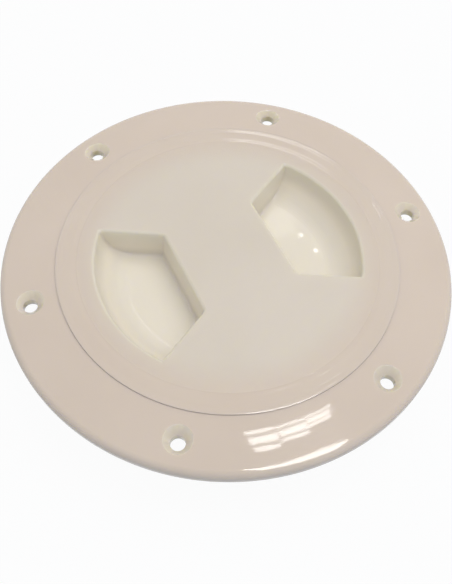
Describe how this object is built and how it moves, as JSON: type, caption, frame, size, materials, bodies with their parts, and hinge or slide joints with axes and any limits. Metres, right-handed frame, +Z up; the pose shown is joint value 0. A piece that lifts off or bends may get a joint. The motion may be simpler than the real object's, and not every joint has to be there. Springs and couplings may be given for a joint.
{
  "type": "inspection hatch",
  "caption": "Round screw-in inspection hatch: a flanged ring with countersunk screw holes, a lid with two finger recesses, and an O-ring.",
  "frame": {"origin": "centre of the flange's underside, which lies on the deck", "axes": "+Z up, out of the deck; +X through one of the screw holes"},
  "size_m": [0.143, 0.143, 0.0244],
  "materials": {
    "ring_plastic": "warm beige, glossy moulding",
    "lid_plastic": "warm beige, glossy border and recesses, fine matte panel",
    "seal_rubber": "soft black rubber"
  },
  "bodies": {
    "ring": {"deck_ring": "ring_plastic"},
    "seal": {"o_ring": "seal_rubber"},
    "lid": {"lid": "lid_plastic"}
  },
  "joints": [
    {"name": "lid_lift", "type": "slide", "parent": "ring", "child": "seal", "axis": [0, 0, 1], "range_m": [0, 0.0091]},
    {"name": "lid_turn", "type": "hinge", "parent": "seal", "child": "lid", "pos_m": [0, 0, 0], "axis": [0, 0, 1], "range_deg": [0, 720]}
  ],
  "couplings": [
    {"joint": "lid_lift", "follows": "lid_turn", "m_per_rad": 0.0007162}
  ]
}
